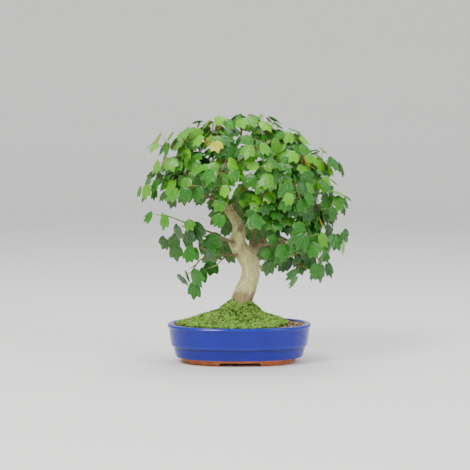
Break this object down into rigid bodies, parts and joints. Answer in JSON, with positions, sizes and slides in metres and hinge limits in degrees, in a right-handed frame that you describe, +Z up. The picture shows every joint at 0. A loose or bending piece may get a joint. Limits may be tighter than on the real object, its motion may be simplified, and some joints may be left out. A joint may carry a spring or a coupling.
{
  "type": "potted bonsai tree",
  "caption": "Trident maple bonsai with a curved trunk and a domed crown of three-lobed leaves, in an oval footed glazed pot with moss over the soil.",
  "frame": {"origin": "on the surface the pot stands on, under the middle of the whole plant's bounding box", "axes": "+Z up; +X along the pot's long side, to the right seen from the front; +Y towards the back"},
  "size_m": [0.387, 0.2908, 0.4316],
  "materials": {
    "pot_glaze": "gloss",
    "pot_clay": "matte",
    "soil": "matte",
    "moss": "matte",
    "bark": "matte",
    "leaves": "satin",
    "twigs": "matte",
    "plastic_mesh": "satin",
    "wire": "satin"
  },
  "bodies": {
    "root": {"drain_screen_left": "plastic_mesh", "drain_screen_right": "plastic_mesh", "moss": "moss", "pot": "pot_glaze", "screen_wire_left": "wire", "screen_wire_right": "wire", "shoot_01": "leaves", "shoot_02": "leaves", "shoot_03": "leaves", "shoot_04": "leaves", "shoot_05": "leaves", "shoot_06": "leaves", "shoot_07": "leaves", "shoot_08": "leaves", "shoot_09": "leaves", "shoot_10": "leaves", "shoot_11": "leaves", "shoot_12": "leaves", "shoot_13": "leaves", "shoot_14": "leaves", "shoot_15": "leaves", "shoot_16": "leaves", "shoot_17": "leaves", "shoot_18": "leaves", "shoot_19": "leaves", "shoot_20": "leaves", "shoot_21": "leaves", "shoot_22": "leaves", "shoot_23": "leaves", "shoot_24": "leaves", "shoot_25": "leaves", "shoot_26": "leaves", "shoot_27": "leaves", "shoot_28": "leaves", "shoot_29": "leaves", "shoot_30": "leaves", "shoot_31": "leaves", "shoot_32": "leaves", "shoot_33": "leaves", "shoot_34": "leaves", "shoot_35": "leaves", "shoot_36": "leaves", "shoot_37": "leaves", "shoot_38": "leaves", "shoot_39": "leaves", "shoot_40": "leaves", "shoot_41": "leaves", "shoot_42": "leaves", "shoot_43": "leaves", "shoot_44": "leaves", "shoot_45": "leaves", "shoot_46": "leaves", "shoot_47": "leaves", "shoot_48": "leaves", "shoot_49": "leaves", "shoot_50": "leaves", "shoot_51": "leaves", "soil": "soil", "trunk": "bark"}
  },
  "joints": []
}
